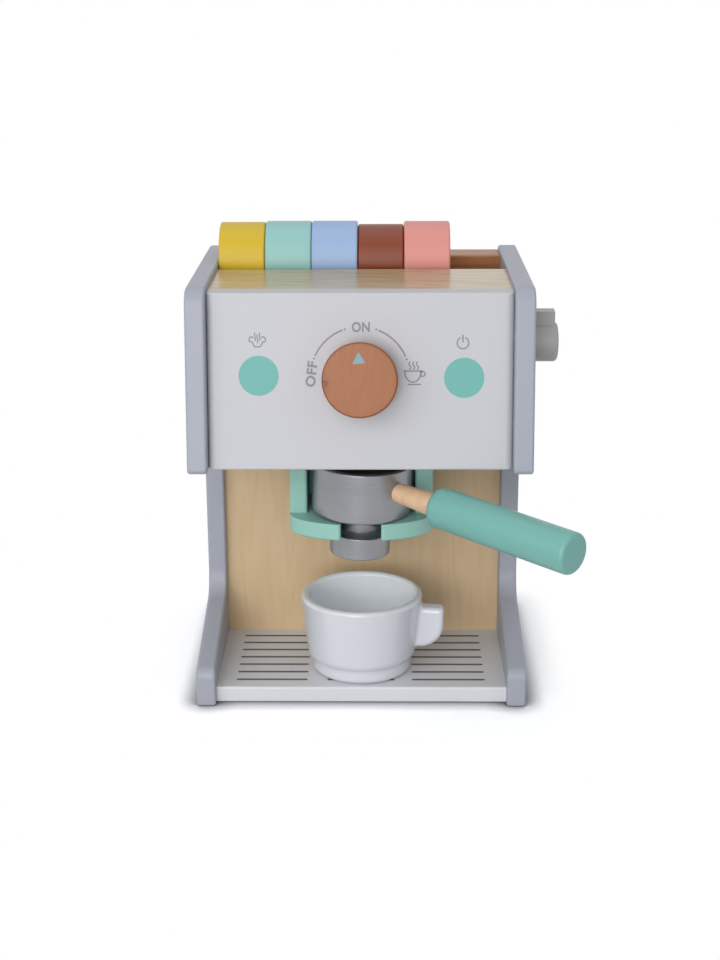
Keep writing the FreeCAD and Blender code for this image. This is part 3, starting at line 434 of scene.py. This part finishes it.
def beech(name, light, dark, along, marks=()):
    """Beech with short flecks and, over them, each of the marks in turn."""
    material = wooden(name, light, dark, along, 0.25, 0.35, 0.42, 0.12, 0.01)
    tree = material.node_tree
    shader = tree.nodes["Principled BSDF"]
    colour = shader.inputs["Base Color"].links[0].from_socket
    plain = object_mm(tree)
    flecks = noise(tree, stretched(tree, plain, FLECK_STRETCH[along]), 1.9, 1.0)
    fleck_part = math_node(tree, "MULTIPLY", ramp(tree, flecks, 0.62, 0.72), 0.22)
    colour = mix_colour(tree, fleck_part, colour, dark)
    for mark in marks:
        colour = mark(tree, plain, colour)
    tree.links.new(colour, shader.inputs["Base Color"])
    return material


DIAL_BEECH = beech("dial_beech", linear(157, 90, 34), linear(142, 76, 27), "Z",
                   (with_knot, with_dark_rim))
PEG_BEECH = beech("peg_beech", linear(228, 194, 158), linear(206, 160, 120), "X")
print("beech:", DIAL_BEECH.name, PEG_BEECH.name)

# %% [markdown]
# ## Silver paint on turned parts
# The basket and the spout are turned and sprayed silver, so they are duller than bare metal and
# show faint rings from the lathe. A fully metallic shader with anisotropy would look machined. This
# one is part metal with a broad gloss: a fine noise gives sparkle, a wide one gives clouds, and a
# third, drawn out far in X and Y so that it changes with the height alone, gives the rings.

# %% Silver


def silver(name, colour, roughness):
    """Silver paint: a part-metal surface with fine grain in its colour and its bump."""
    material, tree, shader = new_material(name, roughness, metallic=0.7)
    vector = object_mm(tree)
    fine = noise(tree, vector, 2.2, 3.0, 0.7)
    cloud = noise(tree, vector, 0.06, 2.0)
    lathe = noise(tree, stretched(tree, vector, (0.02, 0.02, 2.4)), 1.0, 2.0)
    shade = math_node(tree, "MULTIPLY", fine, 0.5)
    shade = math_node(tree, "MULTIPLY_ADD", lathe, 0.25, shade)
    shade = math_node(tree, "MULTIPLY_ADD", cloud, 0.25, shade)
    dark = tuple(c * 0.84 for c in colour[:3]) + (1.0,)
    light = tuple(min(1.0, c * 1.12) for c in colour[:3]) + (1.0,)
    shaded = mix_colour(tree, ramp(tree, shade, 0.3, 0.7), dark, light)
    tree.links.new(shaded, shader.inputs["Base Color"])
    bump(tree, shader, math_node(tree, "ADD", fine, lathe), 0.012)
    return material


BASKET_SILVER = silver("basket_silver", linear(146, 147, 151), 0.34)
print("silver:", BASKET_SILVER.name)

# %% [markdown]
# ## Coloured paints
# Bracket, grip, side knob and capsules are wood in plain satin colours. They could share one
# material with a colour per object, but separate ones keep their own names. The cup is white
# gloss paint, for which a clear coat lies over the colour.

# %% Coloured paints
BRACKET_MINT = painted("bracket_mint_paint", linear(148, 197, 184), 0.4, 0.05)
GRIP_MINT = painted("grip_mint_paint", linear(116, 177, 167), 0.36, 0.05, 0.03)
KNOB_GREY = painted("knob_grey_paint", linear(169, 166, 164), 0.4, 0.06)
CUP_GLAZE = painted("cup_white_gloss", linear(215, 216, 221), 0.22, 0.015, 0.004, coat=0.5)
CAPSULE_COLOURS = {
    "capsule_yellow": linear(213, 180, 30),
    "capsule_mint": linear(148, 197, 192),
    "capsule_blue": linear(154, 181, 218),
    "capsule_brown": linear(126, 53, 16),
    "capsule_pink": linear(222, 146, 135),
    "capsule_in_basket": linear(60, 58, 58),
}
CAPSULE_PAINTS = {
    node: painted(node + "_paint", colour, 0.42, 0.04) for node, colour in CAPSULE_COLOURS.items()
}
print("paints:", 4 + len(CAPSULE_PAINTS))

# %% [markdown]
# The inside of the cup is painted a brighter white than the outside. This is painted light: the
# cup is one white paint, and the brighter colour stands in for light falling inside it. It could
# be a second material on the inner faces, but a CAD piece's mesh stays as it is. So the colour
# changes by place: a point is inside when it lies nearer to the cup's upright axis than the
# middle of the wall, which widens with the height, and above the foot.

# %% Inside of the cup
CUP_AXIS_Y = -37.5
CUP_FOOT_TOP = 16.5
WALL_HEIGHT = 23.0
WALL_RADIUS = 28.9
WALL_FLARE = 0.076


def paint_light_inside(material, colour):
    """Blend the inside of the cup to a brighter colour, as painted light."""
    tree = material.node_tree
    shader = tree.nodes["Principled BSDF"]
    outside = shader.inputs["Base Color"].links[0].from_socket
    place = add(tree, "ShaderNodeSeparateXYZ")
    tree.links.new(object_mm(tree, shift=(0.0, -CUP_AXIS_Y, 0.0)), place.inputs[0])
    x, y, z = (place.outputs[axis] for axis in "XYZ")
    above_middle = math_node(tree, "SUBTRACT", z, WALL_HEIGHT)
    wall = math_node(tree, "MULTIPLY_ADD", above_middle, WALL_FLARE, WALL_RADIUS)
    depth = math_node(tree, "SUBTRACT", wall, root_of_squares(tree, x, y))
    above_foot = ramp(tree, z, CUP_FOOT_TOP, CUP_FOOT_TOP + 4.0)
    # Mask of the painted light: 1 inside the cup above its foot, 0 outside.
    inside = math_node(tree, "MULTIPLY", ramp(tree, depth, -0.6, 0.6), above_foot)
    tree.links.new(mix_colour(tree, inside, outside, colour), shader.inputs["Base Color"])


# Painted light: a brighter white inside the cup, for light falling into it.
paint_light_inside(CUP_GLAZE, linear(240, 244, 247))
print("inside brightened:", CUP_GLAZE.name)

# %% [markdown]
# ## Screws and washers
# The hidden fasteners are zinc-plated steel and the washers white nylon. Zinc could be one flat
# metal colour. Specks just under a millimetre wide, between a darker and a lighter grey, give the
# plating its faint spangle and cost nothing.

# %% Zinc and nylon


def zinc(name):
    """Zinc-plated steel."""
    material, tree, shader = new_material(name, 0.35, metallic=0.9)
    cloud = ramp(tree, noise(tree, object_mm(tree), 1.2, 3.0), 0.3, 0.7)
    colour = mix_colour(tree, cloud, linear(170, 170, 166), linear(206, 206, 200))
    tree.links.new(colour, shader.inputs["Base Color"])
    return material


ZINC = zinc("zinc_screw")
NYLON = painted("white_nylon", linear(224, 222, 214), 0.5, 0.02)
print("fasteners:", ZINC.name, NYLON.name)

# %% [markdown]
# ## Paint every CAD piece
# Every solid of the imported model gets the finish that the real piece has. The pieces could be
# copied and dressed, but a node's own mesh is the true shape, so it is kept and only its material
# is changed. One table shows at a glance what each piece is made of.

# %% Assign materials
LOOKS = {
    "left_side_panel": SIDE_GREY,
    "right_side_panel": SIDE_GREY,
    "front_panel": PANEL_WHITE,
    "base_board": BASE_WHITE,
    "back_panel": BIRCH,
    "top_board": TOP_WOOD,
    "tray_front_batten": SHADED_RAIL_WOOD,
    "tray_floor": PLY,
    "rear_rail": SHADED_RAIL_WOOD,
    "head_floor": PLY,
    "rear_cover": PLY,
    "rear_cover_screws": ZINC,
    "carcass_dowels": PEG_BEECH,
    "bracket_left_wall": BRACKET_MINT,
    "bracket_right_wall": BRACKET_MINT,
    "bracket_back": BRACKET_MINT,
    "bracket_fork": BRACKET_MINT,
    "bracket_screws": ZINC,
    "dial_knob": DIAL_BEECH,
    "dial_shaft": PEG_BEECH,
    "dial_stop_pin": ZINC,
    "dial_washer": NYLON,
    "dial_screw": ZINC,
    "steam_knob": KNOB_GREY,
    "steam_shaft": PEG_BEECH,
    "steam_washer": NYLON,
    "steam_screw": ZINC,
    "filter_basket": BASKET_SILVER,
    "filter_spout": BASKET_SILVER,
    "filter_screw": ZINC,
    "handle_dowel": PEG_BEECH,
    "handle_grip": GRIP_MINT,
    "cup": CUP_GLAZE,
    **CAPSULE_PAINTS,
}
for node, material in LOOKS.items():
    mesh = NODES[node].data
    mesh.materials.clear()
    mesh.materials.append(material)
print("nodes painted", len(LOOKS), "of", len(NODES))

# %% [markdown]
# ## Prints on the front panel
# The scale, the words and the icons are grey ink on the white panel. They could be an image on the
# paint, but an image blurs close up. Ink is made as thin faces instead, sharp at every distance.
# A point of a print is given as (u, v): u to the right and v up the panel from the dial's axis.
# Strokes are ribbons with round ends, laid a few hundredths of a millimetre in front of the paint.

# %% Strokes
INK_LIFT = 0.04
INK = painted("grey_ink", linear(138, 139, 144), 0.55, 0.10)


def on_panel(points, lift=INK_LIFT):
    """Places in millimetres of rows (u, v): axis + u right + v up + lift out of the panel."""
    u, v = points[:, :1], points[:, 1:]
    return DIAL_AXIS + u * PANEL_RIGHT + v * PANEL_UP + lift * PANEL_OUT


def ribbon(points, width, round_steps=6):
    """Outline of a stroke through 2-D points.

    Each side is the path plus or minus half the width times its left-hand normal. Each end is a
    half circle: half the width times the normal's cosine and the direction's sine.
    """
    path = np.array(points, float)
    along = np.gradient(path, axis=0)
    along /= np.linalg.norm(along, axis=1)[:, None]
    across = np.stack([-along[:, 1], along[:, 0]], axis=1)
    half = width / 2
    turn = np.linspace(0, math.pi, round_steps + 2)[1:-1, None]
    start_cap = path[0] + half * (across[0] * np.cos(turn) - along[0] * np.sin(turn))
    end_cap = path[-1] + half * (along[-1] * np.sin(turn) - across[-1] * np.cos(turn))
    return path + across * half, path - across * half, start_cap, end_cap


def softened(points, rounds=3):
    """Corner cutting: each round puts two points at a quarter and three quarters of every step."""
    path = np.array(points, float)
    for _ in range(rounds):
        before, after = path[:-1], path[1:]
        cuts = np.stack([0.75 * before + 0.25 * after, 0.25 * before + 0.75 * after], axis=1)
        path = np.concatenate([path[:1], cuts.reshape(-1, 2), path[-1:]])
    return path


def arc_points(centre, radius, start, end, count=24):
    """Points of an arc, angles in degrees: the centre plus the radius times (cosine, sine)."""
    turn = np.radians(np.linspace(start, end, count))
    return np.array(centre) + radius * np.stack([np.cos(turn), np.sin(turn)], axis=1)


print("ink:", INK.name)

# %% [markdown]
# One print, such as an icon, has several strokes. Each could be an object of its own, but then the
# model would have dozens of specks. So the strokes are gathered as flat faces in (u, v) and then
# laid on their surface as one mesh, which rides on its body.

# %% Print pieces


def finish_piece(name, mesh, material, body):
    """Object from a mesh, with its material and body."""
    mesh.update()
    mesh.materials.append(material)
    mesh.shade_flat()
    piece = bpy.data.objects.new(name, mesh)
    bpy.context.scene.collection.objects.link(piece)
    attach(piece, body)


class FlatMesh:
    """Collects 2-D faces and turns them into one mesh object on a surface."""

    def __init__(self):
        self.points = np.empty((0, 2))
        self.faces = []

    def number(self, points):
        """Keep some points; returns the numbers that faces know them by."""
        start = len(self.points)
        self.points = np.concatenate([self.points, points])
        return list(range(start, len(self.points)))

    def polygon(self, outline):
        """One face whose points run anticlockwise."""
        self.faces.append(self.number(outline))

    def stroke(self, points, width):
        """A strip of four-sided faces between both sides of the ribbon, and a face at each end."""
        left, right_side, start_cap, end_cap = (self.number(part) for part in ribbon(points, width))
        self.faces.extend(zip(right_side, right_side[1:], left[1:], left))
        self.faces.append([left[0], *start_cap, right_side[0]])
        self.faces.append([right_side[-1], *end_cap, left[-1]])

    def disc(self, centre, radius, count=24):
        """A round face: an arc of a full turn, less its last point, which is its first."""
        self.polygon(arc_points(centre, radius, 0, 360, count + 1)[:-1])

    def build(self, name, place, material, body):
        """Mesh object whose points are place(rows of u and v) in millimetres."""
        mesh = bpy.data.meshes.new(name)
        mesh.from_pydata((place(self.points) * MM).tolist(), [], self.faces)
        finish_piece(name, mesh, material, body)
        print(name, "faces", len(self.faces))


print("print pieces can be built")

# %% [markdown]
# The dial's scale is two printed arcs with dots at their ends. A torus would stand up from the
# panel, so the arcs are ribbons like the other strokes, and the dots are discs.

# %% Dial scale
SCALE_CENTRE = (0.0, 0.3)
SCALE_RADIUS = 25.7
SCALE_STROKE = 0.85
SCALE_DOT = 0.55
scale = FlatMesh()
for start, end in ((155.0, 111.5), (67.5, 24.5)):
    scale.stroke(arc_points(SCALE_CENTRE, SCALE_RADIUS, start, end, 40), SCALE_STROKE)
for angle in (158.8, 108.0, 71.0, 20.0):
    scale.disc(arc_points(SCALE_CENTRE, SCALE_RADIUS, angle, angle, 1)[0], SCALE_DOT)
scale.build("dial_scale_print", on_panel, INK, "case")

# %% [markdown]
# ON and OFF are printed in plain capitals, and OFF reads upwards. Letters could be built from
# strokes too, but round ones come out uneven. Blender's own font is close enough: it is turned
# into a mesh first, swollen a little to the weight of the print, scaled to its height and then
# laid on the panel.

# %% Lettering
LETTER_SWELL = 0.032
LETTER_SPACING = 1.06


def letter_points(mesh):
    """The mesh's points as rows (x, y)."""
    flat = np.empty(len(mesh.vertices) * 3)
    mesh.vertices.foreach_get("co", flat)
    return flat.reshape(-1, 3)[:, :2]


def lettering(name, words, centre, height, turn, width_scale):
    """Text as a mesh on the panel, its middle at (u, v), its capitals so many millimetres high.

    A letter's point is centred, scaled, turned by (x cos - y sin, x sin + y cos) and shifted.
    """
    curve = bpy.data.curves.new(name + "_curve", "FONT")
    curve.body = words
    curve.size = 1.0
    curve.offset = LETTER_SWELL
    curve.space_character = LETTER_SPACING
    helper = bpy.data.objects.new(name + "_helper", curve)
    bpy.context.scene.collection.objects.link(helper)
    bpy.context.view_layer.update()
    mesh = bpy.data.meshes.new_from_object(helper)
    bpy.data.objects.remove(helper)
    flat = letter_points(mesh)
    low, high = flat.min(axis=0), flat.max(axis=0)
    scaled = (flat - (low + high) / 2) * (height / (high[1] - low[1]))
    scaled[:, 0] *= width_scale
    c, s = math.cos(turn), math.sin(turn)
    turned = scaled @ np.array([[c, s], [-s, c]]) + np.array(centre)
    mesh.vertices.foreach_set("co", (on_panel(turned) * MM).ravel())
    mesh.materials.clear()
    finish_piece(name, mesh, INK, "case")


lettering("on_print", "ON", (0.4, 25.9), 5.3, 0.0, 0.86)
lettering("off_print", "OFF", (-25.4, 1.5), 5.2, math.radians(84.0), 1.09)
print("lettering made")

# %% [markdown]
# The icons are strokes: a cup with steam on the right of the dial, a steam sign over the left
# button and a power sign over the right one. They could be drawn as curves by hand. Arcs and sine
# waves are used instead, since each line then has a place and a size that can be checked.

# %% Cup icon
ICON_STROKE = 0.75
THIN_STROKE = 0.68
RIM_V = 3.05
SAUCER_V = -3.95


def steam_wave(x, low, high, swing):
    """Line going up at x that swings right and left by one sine wave over its height."""
    rise = np.linspace(0, 1, 14)
    return np.stack([x + swing * np.sin(2 * math.pi * rise), low + (high - low) * rise], axis=1)


cup_icon = FlatMesh()
turn = np.linspace(0, math.pi, 26)
bowl = np.stack([27.4 + 4.3 * np.cos(turn), RIM_V - 5.8 * np.sin(turn)], axis=1)
cup_icon.stroke([(22.9, RIM_V), (31.9, RIM_V)], ICON_STROKE)
cup_icon.stroke(bowl, ICON_STROKE)
cup_icon.stroke(arc_points((32.5, 1.5), 1.25, 140, -150, 18), ICON_STROKE)
cup_icon.stroke([(24.9, SAUCER_V), (31.4, SAUCER_V)], ICON_STROKE)
for x in (25.8, 27.8, 29.8):
    cup_icon.stroke(steam_wave(x, RIM_V + 0.9, RIM_V + 4.7, 0.5), THIN_STROKE)
cup_icon.build("cup_icon_print", on_panel, INK, "case")

# %% [markdown]
# The steam sign is three short lines over a cloud, of which each half is a chain of points with
# its corners cut. The power sign is an open ring with a line in its gap.

# %% Steam and power icons
STEAM_U = -53.3
STEAM_STROKE = 0.62
CLOUD_HALF = ((2.2, 20.5), (3.2, 21.1), (4.3, 20.0), (4.2, 18.3), (2.5, 18.2), (2.2, 16.6),
              (1.2, 15.6), (0.0, 15.7))
steam_icon = FlatMesh()
for x, low, high in ((-1.2, 19.0, 22.9), (0.0, 17.9, 21.9), (1.2, 19.0, 22.9)):
    steam_icon.stroke(steam_wave(STEAM_U + x, low, high, 0.14), STEAM_STROKE)
for side in (-1, 1):
    steam_icon.stroke(softened([(STEAM_U + side * x, y) for x, y in CLOUD_HALF]), THIN_STROKE)
steam_icon.build("steam_icon_print", on_panel, INK, "case")

POWER_U = 53.3
power_icon = FlatMesh()
power_icon.stroke(arc_points((POWER_U, 17.6), 3.0, 118, 422, 40), ICON_STROKE)
power_icon.stroke([(POWER_U, 18.2), (POWER_U, 21.6)], ICON_STROKE)
power_icon.build("power_icon_print", on_panel, INK, "case")

# %% [markdown]
# The two mint buttons show no edge and no shadow in the photograph, so they are printed discs and
# not pegs. The pointer is a pale blue triangle on the dial's face. It could be a colour in the
# dial's material, but as a face of its own that rides on the dial it keeps its sharp corners.

# %% Buttons and pointer
BUTTON_RADIUS = 10.45
BUTTON_MINT = painted("button_mint_print", linear(108, 177, 168), 0.5, 0.04)
POINTER_BLUE = painted("pointer_blue_print", linear(130, 163, 172), 0.5, 0.12)
for name, place in (("left_button", (-52.85, 0.6)), ("right_button", (54.1, -0.5))):
    button = FlatMesh()
    button.disc(place, BUTTON_RADIUS, 96)
    button.build(name, on_panel, BUTTON_MINT, "case")


def on_dial(points):
    """Places in millimetres of rows (u, v) on the dial's face."""
    return on_panel(points, DIAL_LENGTH + INK_LIFT)


pointer = FlatMesh()
pointer.polygon([(-3.8, 8.5), (2.9, 8.8), (-0.6, 14.6)])
pointer.build("dial_pointer_print", on_dial, POINTER_BLUE, "dial")

# %% [markdown]
# ## Drip lines on the base
# The base is printed like a drip tray: seven rows of short dark lines in three groups, and the cup
# stands on the middle one. Grooves could be cut, but the lines on the real board are flat ink and
# catch no light, so they are strokes again.

# %% Drip lines
BASE_TOP = 9.1
BASE_INK_LIFT = 0.03
DRIP_ROWS = 7
DRIP_FRONT_Y = -57.1
DRIP_PITCH = 10.35
DRIP_WIDTH = 2.2
DRIP_SPANS = ((-68.6, -31.0), (-18.0, 17.4), (29.1, 67.8))
DRIP_INK = painted("drip_line_ink", linear(96, 97, 97), 0.6, 0.12)


def on_base(points):
    """Places in millimetres of rows (x, y), just over the base board."""
    return np.insert(points, 2, BASE_TOP + BASE_INK_LIFT, axis=1)


drips = FlatMesh()
for row in range(DRIP_ROWS):
    y = DRIP_FRONT_Y + row * DRIP_PITCH
    for low, high in DRIP_SPANS:
        drips.stroke([(low, y), (high, y)], DRIP_WIDTH)
drips.build("drip_lines_print", on_base, DRIP_INK, "case")

# %% [markdown]
# ## Studio
# The toy stands on a pale floor in white surroundings. Strong lamps could burn the floor to white,
# but they would bleach the toy as well. Light Path is used instead: what is seen directly, in a
# glossy surface or through a clear one is white, and what lights the object is a softer grey.

# %% Floor
FLOOR_HALF = 8.0
FLOOR_DROP = 0.00002
corners = [(x * FLOOR_HALF, y * FLOOR_HALF, 0) for x, y in ((-1, -1), (1, -1), (1, 1), (-1, 1))]
floor_mesh = bpy.data.meshes.new("floor")
floor_mesh.from_pydata(corners, [], [(0, 1, 2, 3)])
floor = bpy.data.objects.new("floor", floor_mesh)
floor.location.z = -FLOOR_DROP
bpy.context.scene.collection.objects.link(floor)


def seen_rays(tree):
    """1 for camera, glossy and transmission rays, and 0 for those that only carry light."""
    path = add(tree, "ShaderNodeLightPath")
    seen = math_node(tree, "MAXIMUM", path.outputs["Is Camera Ray"], path.outputs["Is Glossy Ray"])
    return math_node(tree, "MAXIMUM", seen, path.outputs["Is Transmission Ray"])


def mix_shaders(tree, factor, first, second):
    """Mix of two shaders: the first at factor 0 and the second at factor 1."""
    node = add(tree, "ShaderNodeMixShader")
    for place, value in enumerate((factor, first, second)):
        tree.links.new(value, node.inputs[place])
    return node.outputs[0]


print("floor", FLOOR_HALF * 2, "m wide")

# %% [markdown]
# In the photograph only a thin dark line and a faint shadow tie the toy to the floor. A shadow
# catcher would drop what the floor gives back to the toy. So close to the case the floor is a real
# surface that takes its shadow, and an Ambient Occlusion node darkens the crease under it. Further
# out, what is seen fades to plain white. For light that bounces, the floor is grey all over.

# %% Floor material
CASE_HALF = (90.5, 80.0, 0.0)
FADE_START, FADE_END = 0.002, 0.03
CREASE_REACH = 0.013
CREASE_POWER = 2.2
FLOOR_BOUNCE = (0.62, 0.62, 0.64, 1.0)


def vector_math(tree, operation, vector):
    """Vector Math node fed by a vector; returns the node."""
    node = add(tree, "ShaderNodeVectorMath", operation=operation)
    tree.links.new(vector, node.inputs[0])
    return node


def distance_from_case(tree):
    """Distance in metres of a floor point from the case's outline."""
    place = add(tree, "ShaderNodeTexCoord").outputs["Object"]
    beyond = vector_math(tree, "SUBTRACT", vector_math(tree, "ABSOLUTE", place).outputs[0])
    beyond.inputs[1].default_value = tuple(half * MM for half in CASE_HALF)
    outside = vector_math(tree, "MAXIMUM", beyond.outputs[0])
    return vector_math(tree, "LENGTH", outside.outputs[0]).outputs["Value"]


floor_material = bpy.data.materials.new("floor_pale")
floor_material.use_nodes = True
tree = floor_material.node_tree
tree.nodes.remove(tree.nodes["Principled BSDF"])
crease = add(tree, "ShaderNodeAmbientOcclusion", samples=16, Distance=CREASE_REACH)
open_sky = math_node(tree, "POWER", crease.outputs["AO"], CREASE_POWER)
near_floor = add(tree, "ShaderNodeAddShader")
for place, (closed, clear) in enumerate(((0.06, 0.95), (0.0, 0.6))):
    layer = add(tree, "ShaderNodeBsdfDiffuse")
    tree.links.new(mix_colour(tree, open_sky, grey(closed), grey(clear)), layer.inputs["Color"])
    tree.links.new(layer.outputs[0], near_floor.inputs[place])
glow = add(tree, "ShaderNodeEmission", Color=grey(1.0), Strength=1.0)
bounce = add(tree, "ShaderNodeBsdfDiffuse", Color=FLOOR_BOUNCE)
far_away = ramp(tree, distance_from_case(tree), FADE_START, FADE_END)
seen = mix_shaders(tree, far_away, near_floor.outputs[0], glow.outputs[0])
surface = mix_shaders(tree, seen_rays(tree), bounce.outputs[0], seen)
tree.links.new(surface, tree.nodes["Material Output"].inputs["Surface"])
floor_mesh.materials.append(floor_material)
print("floor material", floor_material.name)

# %% [markdown]
# Behind the toy there is nothing but white. A backdrop could be curved up behind it, but the world
# does the same from every side: plain white where it is seen, and a weak cool sky where it lights
# the object.

# %% World
SKY_COLOUR = (0.86, 0.89, 0.95, 1.0)
SKY_STRENGTH = 0.45
world = bpy.data.worlds.new("studio")
world.use_nodes = True
tree = world.node_tree
sky = tree.nodes["Background"]
sky.inputs["Color"].default_value = SKY_COLOUR
sky.inputs["Strength"].default_value = SKY_STRENGTH
white = add(tree, "ShaderNodeBackground", Color=grey(1.0), Strength=1.0)
background = mix_shaders(tree, seen_rays(tree), sky.outputs[0], white.outputs[0])
tree.links.new(background, tree.nodes["World Output"].inputs["Surface"])
bpy.context.scene.world = world
print("world", world.name)

# %% [markdown]
# A product photograph like this one is lit by soft boxes. Point lights would be simpler, but their
# shadows are hard. Each light here is a square area light aimed at the middle of the object: a
# wide one in front, a low one that reaches into the niche, two small ones from the left and the
# right, and a wide one overhead.

# %% Lights
AIM = Vector((0.0, -0.02, 0.13))


def soft_box(name, place, size, power):
    """Square area light in metres and watts, turned towards the object."""
    data = bpy.data.lights.new(name, "AREA")
    data.size = size
    data.energy = power
    light = bpy.data.objects.new(name, data)
    light.location = place
    light.rotation_mode = "QUATERNION"
    light.rotation_quaternion = (AIM - Vector(place)).to_track_quat("-Z", "Y")
    bpy.context.scene.collection.objects.link(light)


soft_box("front_wide", (-0.5, -1.75, 0.95), 1.4, 13.4)
soft_box("low_front", (-0.25, -1.5, 0.15), 0.6, 5.4)
soft_box("key_left", (-1.1, -0.95, 0.75), 0.6, 2.8)
soft_box("fill_right", (1.15, -0.9, 0.85), 0.6, 0.7)
soft_box("top_wide", (0.0, 0.15, 1.7), 1.4, 3.8)
